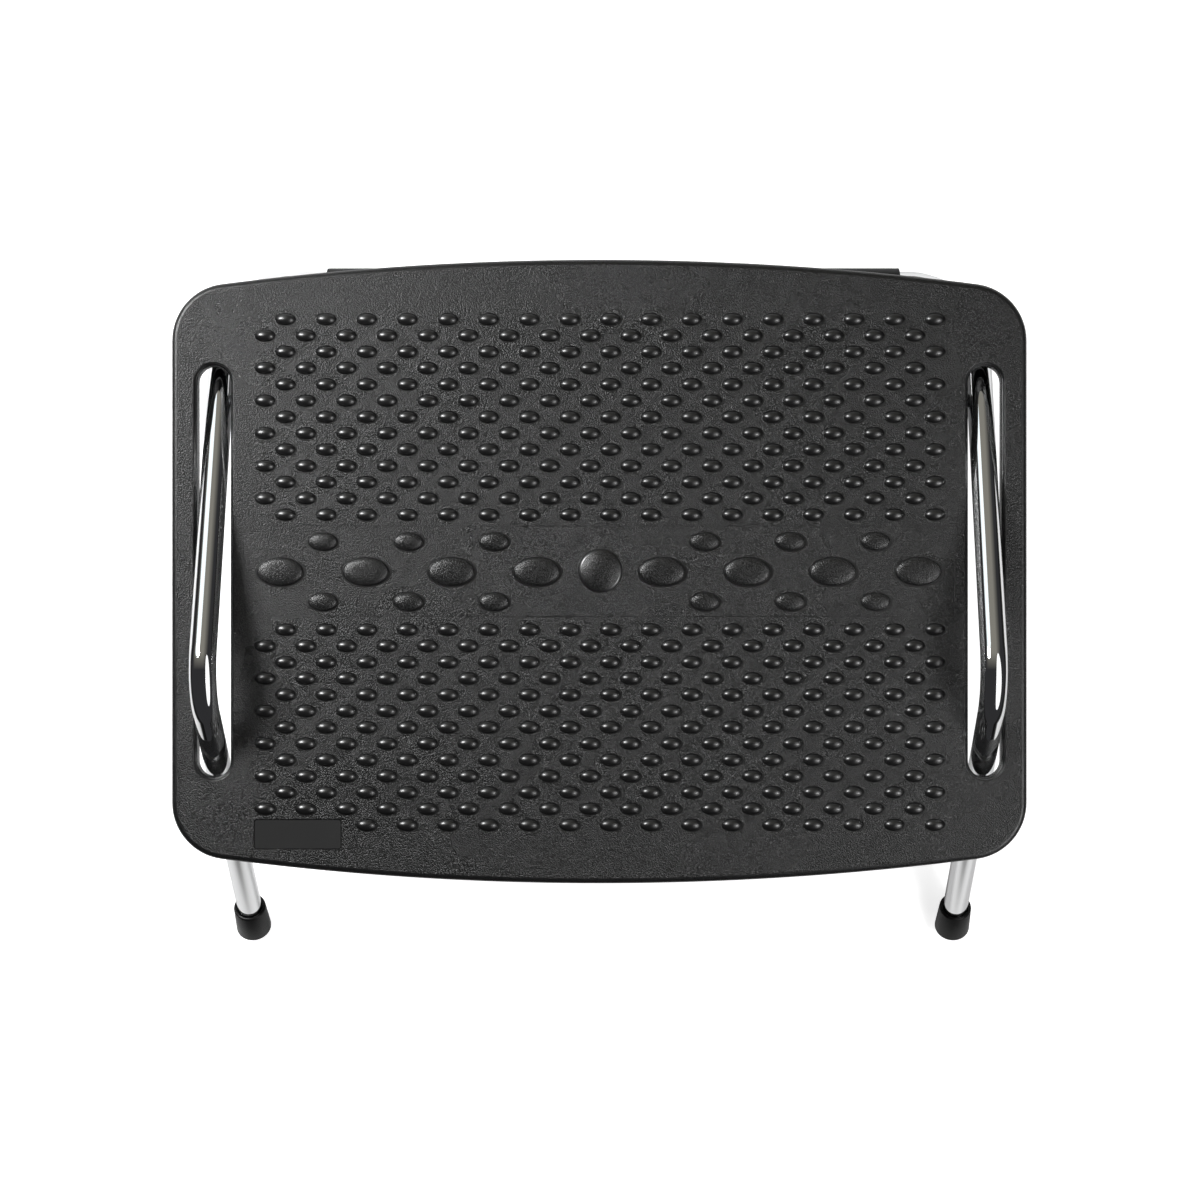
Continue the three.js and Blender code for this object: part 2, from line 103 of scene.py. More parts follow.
# %% Camera square onto the board
PICTURE = 1200
PIXELS_PER_MM = 1.902
BOARD_PIXEL = (599.3, 571.5)
STRAIGHT_DOWN_PIXEL = (637.4, 576.4)
CAMERA_HEIGHT = 1341
SENSOR_WIDTH = 36

camera_data = bpy.data.cameras.new("photo_camera")
camera = bpy.data.objects.new("photo_camera", camera_data)
bpy.context.scene.collection.objects.link(camera)
across = (STRAIGHT_DOWN_PIXEL[0] - BOARD_PIXEL[0]) / PIXELS_PER_MM
along = -(STRAIGHT_DOWN_PIXEL[1] - BOARD_PIXEL[1]) / PIXELS_PER_MM
camera.location = board_place @ Vector((across, along, CAMERA_HEIGHT))
camera.rotation_euler = (-TILT, 0, 0)
camera_data.sensor_width = SENSOR_WIDTH
camera_data.lens = SENSOR_WIDTH * PIXELS_PER_MM * CAMERA_HEIGHT / PICTURE
camera_data.shift_x = -(STRAIGHT_DOWN_PIXEL[0] - PICTURE / 2) / PICTURE
camera_data.shift_y = (STRAIGHT_DOWN_PIXEL[1] - PICTURE / 2) / PICTURE
camera_data.clip_start = 0.05
camera_data.clip_end = 20
bpy.context.scene.camera = camera
print("lens", round(camera_data.lens, 2), "mm, camera at", rounded(camera.location, 3))

# %% [markdown]
# ## Finishes
# Every finish reads Object coordinates. All pieces sit at the origin with their place in their
# mesh, so a pattern is in real metres and keeps its size on every piece. An effect that several
# finishes share is a node group, built once.

# %% Helpers for shader nodes
def new_finish(name, color, roughness, metallic=0.0):
    """A material with one Principled shader, and that shader's node."""
    finish = bpy.data.materials.new(name)
    finish.use_nodes = True
    shader = finish.node_tree.nodes["Principled BSDF"]
    shader.inputs["Base Color"].default_value = (*color, 1)
    shader.inputs["Roughness"].default_value = roughness
    shader.inputs["Metallic"].default_value = metallic
    return finish, shader


def new_effect(name, inputs, outputs):
    """An empty node group with number inputs (name, value) and named outputs."""
    group = bpy.data.node_groups.new(name, "ShaderNodeTree")
    group.interface.new_socket("Vector", in_out="INPUT", socket_type="NodeSocketVector")
    for label, value in inputs:
        socket = group.interface.new_socket(label, in_out="INPUT", socket_type="NodeSocketFloat")
        socket.default_value = value
    for label in outputs:
        group.interface.new_socket(label, in_out="OUTPUT", socket_type="NodeSocketFloat")
    entry = group.nodes.new("NodeGroupInput")
    result = group.nodes.new("NodeGroupOutput")
    return group, entry, result


def add_node(tree, kind, **settings):
    node = tree.nodes.new(kind)
    for key, value in settings.items():
        setattr(node, key, value)
    return node


def math_node(tree, operation, first, second=None, clamp=False):
    """A Math node whose inputs are sockets or numbers. Gives back its output."""
    node = add_node(tree, "ShaderNodeMath", operation=operation, use_clamp=clamp)
    for index, value in enumerate((first, second)):
        if value is None:
            continue
        if isinstance(value, (int, float)):
            node.inputs[index].default_value = value
        else:
            tree.links.new(value, node.inputs[index])
    return node.outputs[0]


def spread(tree, value, low, high, new_low, new_high):
    """A Map Range node: low to high becomes new_low to new_high, clamped."""
    node = add_node(tree, "ShaderNodeMapRange")
    numbers = {"From Min": low, "From Max": high, "To Min": new_low, "To Max": new_high}
    for label, number in numbers.items():
        node.inputs[label].default_value = number
    tree.links.new(value, node.inputs["Value"])
    return node.outputs["Result"]


print("node helpers ready")

# %% [markdown]
# The board's top has a leather grain that was etched into the mould. A cell pattern gives the
# pebbles and a finer noise breaks them up. The group puts out the height for a Bump node and a
# mask of painted glints, which lightens the colour on the tops of the pebbles to stand in for
# the sparkle of the lamps on the grain.

# %% Moulded grain
def build_grain():
    group, entry, result = new_effect("moulded_grain", [("Scale", 900)], ["Height", "Painted glints"])
    cells = add_node(group, "ShaderNodeTexVoronoi", feature="SMOOTH_F1")
    cells.inputs["Smoothness"].default_value = 0.6
    fine = add_node(group, "ShaderNodeTexNoise")
    fine.inputs["Detail"].default_value = 2
    fine.inputs["Roughness"].default_value = 0.65
    group.links.new(entry.outputs["Vector"], cells.inputs["Vector"])
    group.links.new(entry.outputs["Vector"], fine.inputs["Vector"])
    group.links.new(entry.outputs["Scale"], cells.inputs["Scale"])
    fine_scale = math_node(group, "MULTIPLY", entry.outputs["Scale"], 1.3)
    group.links.new(fine_scale, fine.inputs["Scale"])
    pebbles = spread(group, cells.outputs["Distance"], 0.15, 0.75, 1, 0)
    rough = spread(group, fine.outputs["Fac"], 0.3, 0.7, 0, 1)
    breaks = math_node(group, "MULTIPLY", rough, 0.6)
    height = math_node(group, "ADD", pebbles, breaks)
    group.links.new(height, result.inputs["Height"])
    # Painted glints: the colour goes light on the pebble tops, standing in for the lamps'
    # sparkle.
    painted_glints = spread(group, height, 0.5, 1.4, 0, 1)
    group.links.new(painted_glints, result.inputs["Painted glints"])
    return group


moulded_grain = build_grain()
print("built", moulded_grain.name)

# %% [markdown]
# Nothing that is handled stays evenly clean. A slow, cloudy noise shifts the gloss of a surface
# by a few parts in a hundred, and a finer one adds the faint dust that settles on black plastic.

# %% Handling haze
def build_haze():
    group, entry, result = new_effect("handling_haze", [("Scale", 14)], ["Haze", "Dust"])
    slow = add_node(group, "ShaderNodeTexNoise")
    slow.inputs["Detail"].default_value = 4
    group.links.new(entry.outputs["Vector"], slow.inputs["Vector"])
    group.links.new(entry.outputs["Scale"], slow.inputs["Scale"])
    fine = add_node(group, "ShaderNodeTexNoise")
    fine.inputs["Detail"].default_value = 3
    fine_scale = math_node(group, "MULTIPLY", entry.outputs["Scale"], 40)
    group.links.new(entry.outputs["Vector"], fine.inputs["Vector"])
    group.links.new(fine_scale, fine.inputs["Scale"])
    haze = spread(group, slow.outputs["Fac"], 0.35, 0.65, 0, 1)
    dust = spread(group, fine.outputs["Fac"], 0.62, 0.78, 0, 1)
    group.links.new(haze, result.inputs["Haze"])
    group.links.new(dust, result.inputs["Dust"])
    return group


handling_haze = build_haze()
print("built", handling_haze.name)


# %% Helpers that lay an effect into a finish
def use_effect(finish, group, **values):
    """Puts a group into a finish, fed with Object coordinates."""
    tree = finish.node_tree
    place = add_node(tree, "ShaderNodeTexCoord")
    node = add_node(tree, "ShaderNodeGroup", node_tree=group)
    tree.links.new(place.outputs["Object"], node.inputs["Vector"])
    for label, value in values.items():
        node.inputs[label.capitalize()].default_value = value
    return node


def mix_colors(finish, mask, dark, light):
    """Gives a finish a color that goes from dark to light with a mask."""
    tree = finish.node_tree
    node = add_node(tree, "ShaderNodeMix", data_type="RGBA")
    node.inputs["A"].default_value = (*dark, 1)
    node.inputs["B"].default_value = (*light, 1)
    tree.links.new(mask, node.inputs["Factor"])
    tree.links.new(node.outputs["Result"], tree.nodes["Principled BSDF"].inputs["Base Color"])


def bump_from(finish, height, depth, strength=1.0):
    """A Bump node whose depth is in metres, into the shader's normal."""
    tree = finish.node_tree
    node = add_node(tree, "ShaderNodeBump")
    node.inputs["Strength"].default_value = strength
    node.inputs["Distance"].default_value = depth
    tree.links.new(height, node.inputs["Height"])
    tree.links.new(node.outputs["Normal"], tree.nodes["Principled BSDF"].inputs["Normal"])


print("effect helpers ready")

# %% [markdown]
# ### Board plastic
# The board is black plastic, satin rather than matt. Its top has the coarse grain. The rolled
# edges, the lips of the slots and the larger bumps have a finer one, as an etch thins out where
# the mould curves. The small bumps come from polished parts of the mould, so they have no grain
# and more gloss. The flat rings at the feet of all bumps get that dark glossy finish too, as
# painted shade for the creases round the bumps. The bare panel is smooth as well.

# %% Five finishes of the board
def grey(level, blue=None):
    return (level, level, level if blue is None else blue)


def board_finish(name, dark, light, gloss, grain_depth=0, grain_scale=0, sheen=0.5):
    """Black plastic. Its gloss is a pair of roughnesses, and its grain's depth is in metres."""
    finish, shader = new_finish(name, dark, gloss[0])
    shader.inputs["Specular IOR Level"].default_value = sheen
    tree = finish.node_tree
    haze = use_effect(finish, handling_haze, scale=14)
    if grain_depth:
        grain = use_effect(finish, moulded_grain, scale=grain_scale)
        # Painted glints: the grain's pebble tops get the light colour, standing in for the lamps'
        # sparkle.
        mix_colors(finish, grain.outputs["Painted glints"], dark, light)
        bump_from(finish, grain.outputs["Height"], grain_depth)
    else:
        mix_colors(finish, haze.outputs["Dust"], dark, light)
    roughness = spread(tree, haze.outputs["Haze"], 0, 1, *gloss)
    tree.links.new(roughness, shader.inputs["Roughness"])
    return finish


grained_black = board_finish(
    "grained_black", grey(0.001), grey(0.024, 0.0242), (0.26, 0.3), 0.00016, 1400,
)
fine_black = board_finish(
    "fine_black", grey(0.004, 0.0041), grey(0.014, 0.0141), (0.27, 0.31), 0.00006, 1500,
)
band_black = board_finish(
    "band_black", grey(0.006), grey(0.03, 0.0302), (0.25, 0.29), 0.00008, 1600,
)
glossy_black = board_finish(
    "glossy_black", grey(0.005, 0.0051), grey(0.008), (0.3, 0.34), sheen=0.9,
)
smooth_black = board_finish(
    "smooth_black", grey(0.0135, 0.0136), grey(0.0165), (0.4, 0.46),
)
board_blacks = (grained_black, fine_black, band_black, glossy_black, smooth_black)
print("board finishes:", ", ".join(finish.name for finish in board_blacks))

# %% [markdown]
# ### Metal, rubber and sleeve
# The tube is polished chrome, nearly a mirror, with only a breath of haze. The caps are plain
# black rubber and the sleeve is a smooth, slightly softer black plastic tube.

# %% Chrome, steel, rubber and sleeve finishes
def metal_finish(name, color, gloss, haze_scale, scratch_depth=0):
    finish, shader = new_finish(name, color, gloss[0], 1.0)
    haze = use_effect(finish, handling_haze, scale=haze_scale)
    tree = finish.node_tree
    roughness = spread(tree, haze.outputs["Haze"], 0, 1, *gloss)
    tree.links.new(roughness, shader.inputs["Roughness"])
    if scratch_depth:
        bump_from(finish, haze.outputs["Dust"], scratch_depth, 0.5)
    return finish


def dull_finish(name, dark, light, gloss, grain_depth, grain_scale, sheen=0.5):
    finish, shader = new_finish(name, dark, gloss[0])
    shader.inputs["Specular IOR Level"].default_value = sheen
    tree = finish.node_tree
    haze = use_effect(finish, handling_haze, scale=30)
    grain = use_effect(finish, moulded_grain, scale=grain_scale)
    mix_colors(finish, haze.outputs["Dust"], dark, light)
    bump_from(finish, grain.outputs["Height"], grain_depth)
    roughness = spread(tree, haze.outputs["Haze"], 0, 1, *gloss)
    tree.links.new(roughness, shader.inputs["Roughness"])
    return finish


chrome = metal_finish("polished_chrome", (0.86, 0.865, 0.87), (0.02, 0.045), 20)
zinc = metal_finish("bright_zinc", (0.62, 0.63, 0.65), (0.22, 0.34), 60, 0.00002)
cap_rubber = dull_finish(
    "cap_rubber", grey(0.004), grey(0.008), (0.34, 0.42), 0.00003, 1600, sheen=0.25,
)
sleeve_black = dull_finish(
    "sleeve_black", grey(0.005, 0.0052), grey(0.01), (0.36, 0.44), 0.00002, 2200, sheen=0.25,
)
bearing_black = dull_finish(
    "bearing_black", grey(0.016), grey(0.026), (0.45, 0.55), 0.00005, 1400,
)
others = (chrome, zinc, cap_rubber, sleeve_black, bearing_black)
print("other finishes:", ", ".join(finish.name for finish in others))

# %% [markdown]
# ## Making pieces
# Each piece is drawn in a bmesh with operators and then put into the scene by one helper, which
# gives it its finishes, lets it ride on its body and hides the node of the frame it stands for.

# %% Helpers for pieces
def finish_piece(
    bm, name, body, finishes, stands_for=(), sharp_angle=35, even_normals=False,
):
    """Writes a bmesh into the scene as a named piece, smooth except across sharp edges."""
    for face in bm.faces:
        face.smooth = True
    limit = math.radians(sharp_angle)
    for edge in bm.edges:
        edge.smooth = edge.is_manifold and edge.calc_face_angle(0) < limit
    mesh = bpy.data.meshes.new(name)
    bm.to_mesh(mesh)
    bm.free()
    piece = bpy.data.objects.new(name, mesh)
    bpy.context.scene.collection.objects.link(piece)
    for finish in finishes:
        mesh.materials.append(finish)
    if even_normals:
        weighted = piece.modifiers.new("even_normals", "WEIGHTED_NORMAL")
        weighted.keep_sharp = True
    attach(piece, body)
    if stands_for:
        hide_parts(*stands_for)
    print(f"{name}: {len(mesh.polygons)} faces, rides on {body}")


MERGE = 1e-4


def outward(bm):
    bmesh.ops.remove_doubles(bm, verts=bm.verts, dist=MERGE)
    bmesh.ops.recalc_face_normals(bm, faces=bm.faces)


def verts_of(items):
    return [item for item in items if isinstance(item, bmesh.types.BMVert)]


def edges_of(items):
    return [item for item in items if isinstance(item, bmesh.types.BMEdge)]


def spin(bm, geom, centre, axis, angle, steps, merge=False):
    """Turns points and edges round an axis and gives back the last ones made."""
    return bmesh.ops.spin(
        bm, geom=geom, cent=centre, axis=axis, dvec=(0, 0, 0), angle=angle, steps=steps,
        use_merge=merge, use_normal_flip=False, use_duplicate=False,
    )["geom_last"]


print("piece helpers ready")

# %% [markdown]
# ## The bent tube
# On the real stand one straight tube goes through a bending machine that turns it round a
# roller at each corner. The same is done here: a circle is pushed along a straight, then spun
# round the middle of the bend, and so on from one leg's end to the other's. A curve with a
# round bevel would be quicker, but its rings bunch up where a bend meets a straight.

# %% Sizes of the tube
TUBE_RADIUS = 7
TUBE_SIDES = 64
LOOP_X = 202.9
LOOP_SLOPE = math.radians(36.2)
LOOP_PEAK = 145.2
LOOP_BEND = 30
CORNER_BEND = 37
BEND_STEPS = 28
LEG_END_SETBACK = 4.3
CAP_BASE = Vector((LOOP_X, -194.19, 7.07))

leg_rise = Vector((0, math.cos(LOOP_SLOPE), math.sin(LOOP_SLOPE)))
peak_y = axle_middle.y - (LOOP_PEAK - axle_middle.z) / math.tan(LOOP_SLOPE)
leg_end = CAP_BASE + leg_rise * LEG_END_SETBACK
tube_corners = [
    Vector((-LOOP_X, leg_end.y, leg_end.z)),
    Vector((-LOOP_X, peak_y, LOOP_PEAK)),
    Vector((-LOOP_X, bar_middle.y, bar_middle.z)),
    Vector((LOOP_X, bar_middle.y, bar_middle.z)),
    Vector((LOOP_X, peak_y, LOOP_PEAK)),
    Vector((LOOP_X, leg_end.y, leg_end.z)),
]
print("loop peak at y", round(peak_y, 2), "leg end at", rounded(leg_end, 2))


# %% Helpers that push and bend a ring
def start_ring(bm, centre, direction, radius, sides):
    turn = direction.to_track_quat("Z", "Y").to_matrix().to_4x4()
    place = Matrix.Translation(centre) @ turn
    bmesh.ops.create_circle(bm, cap_ends=False, radius=radius, segments=sides, matrix=place)
    return list(bm.edges)


def ring_middle(ring):
    points = {vert for edge in ring for vert in edge.verts}
    return sum((vert.co for vert in points), Vector()) / len(points)


def push_ring(bm, ring, target):
    """Extrudes a ring straight on, to a new middle."""
    move = target - ring_middle(ring)
    made = bmesh.ops.extrude_edge_only(bm, edges=ring)["geom"]
    points = verts_of(made)
    bmesh.ops.translate(bm, verts=points, vec=move)
    fresh = set(points)
    return [edge for edge in edges_of(made) if set(edge.verts) <= fresh]


def bend_ring(bm, ring, incoming, outgoing, radius, steps):
    """Spins a ring round the middle of a bend."""
    axis = incoming.cross(outgoing).normalized()
    centre = ring_middle(ring) + axis.cross(incoming) * radius
    points = list({vert for edge in ring for vert in edge.verts})
    return edges_of(spin(bm, points + ring, centre, axis, incoming.angle(outgoing), steps))


def bent_tube(bm, corners, radii, steps, radius, sides):
    """A round tube through corners, each rounded to its radius. Gives back its two end rings."""
    headings = [(after - before).normalized() for before, after in zip(corners, corners[1:])]
    ring = first = start_ring(bm, corners[0], headings[0], radius, sides)
    for corner, bend, incoming, outgoing in zip(corners[1:], radii, headings, headings[1:]):
        reach = bend * math.tan(incoming.angle(outgoing) / 2)
        ring = push_ring(bm, ring, corner - incoming * reach)
        ring = bend_ring(bm, ring, incoming, outgoing, bend, steps)
    ring = push_ring(bm, ring, corners[-1])
    return first, ring


print("tube helpers ready")

# %% Frame tube
bm = bmesh.new()
tube_radii = [LOOP_BEND, CORNER_BEND, CORNER_BEND, LOOP_BEND]
ends = bent_tube(bm, tube_corners, tube_radii, BEND_STEPS, TUBE_RADIUS, TUBE_SIDES)
for end in ends:
    bmesh.ops.holes_fill(bm, edges=end, sides=0)
outward(bm)
bmesh.ops.transform(bm, matrix=to_metres, verts=bm.verts)
finish_piece(bm, "bent_tube", "stand", [chrome], ["frame_tube"])

# %% [markdown]
# ## Turned pieces
# The sleeve, the caps, the axle and the screws are round. Half of each one's section is drawn
# with a few points and spun round its axis. The sleeve's and the caps' edges show, so a bevel
# rounds them.

# %% Helper that turns a section
def turned(bm, section, place, steps, closed=False):
    """Spins (radius, height) points a full turn about Z, then lays the result in place."""
    points = [bm.verts.new((radius, 0, height)) for radius, height in section]
    pairs = list(zip(points, points[1:]))
    if closed:
        pairs.append((points[-1], points[0]))
    edges = [bm.edges.new(pair) for pair in pairs]
    spin(bm, points + edges, (0, 0, 0), (0, 0, 1), math.tau, steps, merge=True)
    outward(bm)
    bmesh.ops.transform(bm, matrix=place, verts=bm.verts)


def break_edges(bm, amount, segments, over=50):
    """Rounds every edge whose faces meet at more than an angle."""
    limit = math.radians(over)
    edges = [edge for edge in bm.edges if edge.is_manifold and edge.calc_face_angle(0) > limit]
    bmesh.ops.bevel(
        bm, geom=edges, offset=amount, offset_type="OFFSET", affect="EDGES",
        segments=segments, profile=0.5, material=-1, clamp_overlap=True,
    )


print("turning helpers ready")

# %% Sleeve of the floor bar
SLEEVE_RADIUS = 8.75
SLEEVE_BORE = 7.15
sleeve_low, sleeve_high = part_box("floor_bar_sleeve")
sleeve_half = (sleeve_high.x - sleeve_low.x) / MM / 2
bm = bmesh.new()
along_x = Matrix.Translation(bar_middle) @ Matrix.Rotation(math.pi / 2, 4, "Y")
section = [
    (SLEEVE_BORE, -sleeve_half), (SLEEVE_RADIUS, -sleeve_half),
    (SLEEVE_RADIUS, sleeve_half), (SLEEVE_BORE, sleeve_half),
]
turned(bm, section, along_x, 64, closed=True)
break_edges(bm, 0.5, 3)
bmesh.ops.transform(bm, matrix=to_metres, verts=bm.verts)
finish_piece(bm, "bar_sleeve", "stand", [sleeve_black], ["floor_bar_sleeve"])

# %% [markdown]
# ### Foot caps
# Each cap is a tapered rubber cup pushed onto the leg. Its base is square to the leg, so the cap
# stands on the lower edge of its base, which a plane cuts to a small settled flat.

# %% Foot caps
CAP_BASE_RADIUS = 10
CAP_MOUTH_RADIUS = 9.1
CAP_BORE = 7.15
CAP_LENGTH = 22
CAP_FLOOR = 4
CAP_SECTION = [
    (0, 0), (CAP_BASE_RADIUS, 0), (CAP_MOUTH_RADIUS, CAP_LENGTH),
    (CAP_BORE, CAP_LENGTH), (CAP_BORE, CAP_FLOOR), (0, CAP_FLOOR),
]
leg_turn = leg_rise.to_track_quat("Z", "Y").to_matrix().to_4x4()
for side, name in ((-1, "left"), (1, "right")):
    bm = bmesh.new()
    place = Matrix.Translation((side * CAP_BASE.x, CAP_BASE.y, CAP_BASE.z)) @ leg_turn
    turned(bm, CAP_SECTION, place, 64)
    break_edges(bm, 0.9, 4, over=80)
    everything = list(bm.verts) + list(bm.edges) + list(bm.faces)
    cut = bmesh.ops.bisect_plane(
        bm, geom=everything, plane_co=(0, 0, 0), plane_no=(0, 0, -1), clear_outer=True,
    )["geom_cut"]
    bmesh.ops.holes_fill(bm, edges=edges_of(cut), sides=0)
    outward(bm)
    bmesh.ops.transform(bm, matrix=to_metres, verts=bm.verts)
    piece_name = f"rubber_cap_{name}"
    finish_piece(bm, piece_name, "stand", [cap_rubber], [f"foot_cap_{name}"])

# %% [markdown]
# ## The board
# The board is one moulding: a thin plate with a rolled edge, a skirt and two long slots. It is
# built as a skin. Outlines are drawn by turning a point round the centre of each arc, each one a
# little further in or lower than the last, and neighbouring outlines are bridged. A boolean cut
# would leave ragged faces round the slots, but bridged rings stay clean, and their rounding
# catches the light evenly.

# %% Helpers that draw and bridge outlines
def draw_outline(bm, arcs, height):
    """A closed ring of edges. Each arc is (x, y, radius, start, turn, steps)."""
    kept = set(bm.edges)
    first = last = None
    for x, y, radius, start, turn, steps in arcs:
        spot = Vector((x + radius * math.cos(start), y + radius * math.sin(start), height))
        point = bm.verts.new(spot)
        if last is None:
            first = point
        else:
            bm.edges.new((last, point))
        last = verts_of(spin(bm, [point], (x, y, height), (0, 0, 1), turn, steps))[0]
    bm.edges.new((last, first))
    fresh = {vert for edge in bm.edges if edge not in kept for vert in edge.verts}
    bmesh.ops.remove_doubles(bm, verts=list(fresh), dist=MERGE)
    return [edge for edge in bm.edges if edge not in kept]


def bridge_outlines(bm, outline, steps):
    """Draws an outline at each (inset, height) and bridges each one to the next."""
    rings = [draw_outline(bm, outline(inset), height) for inset, height in steps]
    for lower, upper in zip(rings, rings[1:]):
        bmesh.ops.bridge_loops(bm, edges=lower + upper)
    return rings


def quarter_round(inset, height, radius, steps):
    """(inset, height) points of a rounded edge whose centre is given."""
    angles = [math.pi / 2 * step / steps for step in range(steps + 1)]
    return [
        (inset - radius * math.cos(angle), height + radius * math.sin(angle))
        for angle in angles
    ]


def fill_outline(bm, edges, up):
    """Fills flat outlines with triangles and gives back the faces."""
    made = bmesh.ops.triangle_fill(
        bm, use_beauty=True, use_dissolve=False, edges=edges, normal=(0, 0, up),
    )["geom"]
    return [item for item in made if isinstance(item, bmesh.types.BMFace)]


print("outline helpers ready")

# %% Outlines of the board, its slots, its bare panel and its middle band
BOARD_WIDTH = 450.2
BOARD_DEPTH = 328.6
BOARD_BOW = 1550
BOARD_CORNER = 30
PLATE = 3
SKIRT = 20
SKIRT_WALL = 3
EDGE_ROUND = 3
SLOT_RADIUS = 8.8
SLOT_HALF = 108.34
SLOT_LIP = [
    (0, -2.3), (0.12, -1.85), (0.35, -1.6), (0.7, -1.5), (0.95, -1.3),
    (1.1, -0.8), (1.3, -0.35), (1.65, -0.08), (2.1, 0),
]
SLOT_WALL = 2.4
SLOT_DEPTH = 10
FOOT_ROUND = 0.4
FOOT_CROWN = 0.1


def board_outline(inset):
    bow = BOARD_BOW - inset
    corner = BOARD_CORNER - inset
    bow_y = BOARD_DEPTH / 2 - BOARD_BOW
    x = BOARD_WIDTH / 2 - BOARD_CORNER
    y = bow_y + math.sqrt((bow - corner) ** 2 - x**2)
    lean = math.atan2(x, y - bow_y)
    right = math.pi / 2
    return [
        (x, y, corner, 0, right - lean, 16),
        (0, bow_y, bow, right - lean, 2 * lean, 44),
        (-x, y, corner, right + lean, right - lean, 16),
        (-x, -y, corner, 2 * right, right - lean, 16),
        (0, -bow_y, bow, 3 * right - lean, 2 * lean, 44),
        (x, -y, corner, 3 * right + lean, right - lean, 16),
    ]


def slot_outline(x):
    def grown(inset):
        radius = SLOT_RADIUS - inset
        straight = SLOT_HALF - SLOT_RADIUS
        return [
            (x, straight, radius, 0, math.pi, 24),
            (x, -straight, radius, math.pi, math.pi, 24),
        ]

    return grown


PANEL_MIDDLE = (-158.6, -138.2)
PANEL_SIZE = (46.5, 16.3)
PANEL_CORNER = 2


def panel_outline(inset):
    radius = PANEL_CORNER - inset
    x, y = PANEL_MIDDLE
    across = PANEL_SIZE[0] / 2 - PANEL_CORNER
    along = PANEL_SIZE[1] / 2 - PANEL_CORNER
    right = math.pi / 2
    corners = ((1, 1), (-1, 1), (-1, -1), (1, -1))
    return [
        (x + sx * across, y + sy * along, radius, turn * right, right, 6)
        for turn, (sx, sy) in enumerate(corners)
    ]


BAND_ENDS = (-23.8, 24.1)
BAND_HALF = 187
BAND_CORNER = 1


def band_outline(inset):
    right = math.pi / 2
    low, high = BAND_ENDS[0] + BAND_CORNER, BAND_ENDS[1] - BAND_CORNER
    corners = ((1, high), (-1, high), (-1, low), (1, low))
    return [
        (side * (BAND_HALF - BAND_CORNER), y, BAND_CORNER - inset, turn * right, right, 4)
        for turn, (side, y) in enumerate(corners)
    ]


print("slot half length", SLOT_HALF, "panel", PANEL_SIZE)

# %% [markdown]
# ### The skin
# The mould's two halves meet at the foot of the skirt, so the skirt ends in a crowned edge. Each
# slot has a rounded lip that a shallow step sets off from its wall. A hairline groove runs round
# the middle band, where an insert of the mould stops. The bare panel is sunk a little, with a
# groove at its border. Faces on the rolled edge and the lips get the finer grain.

# %% Skin of the board
PANEL_STEPS = [(0, 0), (0.12, -0.5), (0.5, -0.52), (0.7, -0.3)]
GROOVE_STEPS = [(0, 0), (0.2, -0.1), (0.4, 0)]
FLAT_TOP = -0.005
bm = bmesh.new()
rim_steps = [
    (SKIRT_WALL, -PLATE), (SKIRT_WALL, FOOT_ROUND - SKIRT), (SKIRT_WALL - FOOT_ROUND, -SKIRT),
    (SKIRT_WALL / 2, -SKIRT - FOOT_CROWN), (FOOT_ROUND, -SKIRT), (0, FOOT_ROUND - SKIRT),
]
rim_steps += quarter_round(EDGE_ROUND, -EDGE_ROUND, EDGE_ROUND, 7)
rim_rings = bridge_outlines(bm, board_outline, rim_steps)
top_edges = list(rim_rings[-1])
under_edges = list(rim_rings[0])
for side in (-1, 1):
    slot_steps = [
        (-SLOT_WALL, -PLATE), (-SLOT_WALL, FOOT_ROUND - SLOT_DEPTH),
        (FOOT_ROUND - SLOT_WALL, -SLOT_DEPTH), (-SLOT_WALL / 2, -SLOT_DEPTH - FOOT_CROWN),
        (-FOOT_ROUND, -SLOT_DEPTH), (0, FOOT_ROUND - SLOT_DEPTH),
    ]
    slot_steps += [(-inset, height) for inset, height in SLOT_LIP]
    slot_rings = bridge_outlines(bm, slot_outline(side * LOOP_X), slot_steps)
    top_edges += slot_rings[-1]
    under_edges += slot_rings[0]
panel_rings = bridge_outlines(bm, panel_outline, PANEL_STEPS)
top_edges += panel_rings[0]
band_rings = bridge_outlines(bm, band_outline, GROOVE_STEPS)
top_edges += band_rings[0]
fill_outline(bm, band_rings[-1], 1)
fill_outline(bm, top_edges, 1)
fill_outline(bm, under_edges, -1)
for face in fill_outline(bm, panel_rings[-1], 1):
    face.material_index = 1
for face in bm.faces:
    if -EDGE_ROUND < face.calc_center_median().z < FLAT_TOP and face.material_index == 0:
        face.material_index = 2
outward(bm)
print("open edges in the skin:", sum(not edge.is_manifold for edge in bm.edges))
bmesh.ops.transform(bm, matrix=board_place, verts=bm.verts)
skin_finishes = [grained_black, smooth_black, fine_black]
finish_piece(
    bm, "board_skin", "board", skin_finishes, ["footboard"], even_normals=True,
)

# %% [markdown]
# ### Massage bumps
# The bumps stand in two blocks of staggered rows, with a band of larger ones between them. One
# bump of each kind is turned from a section, stretched to its oval, and then copied to its
# places. Round the foot of each bump lies a flat, dark, glossy ring. It is painted shade for the
# crease at the foot, and it reaches a little further to the lower right as the bump's painted
# shadow.

# %% Helpers that make and copy a bump
RING_FOOT = 0.004
RING_TOP = 0.02


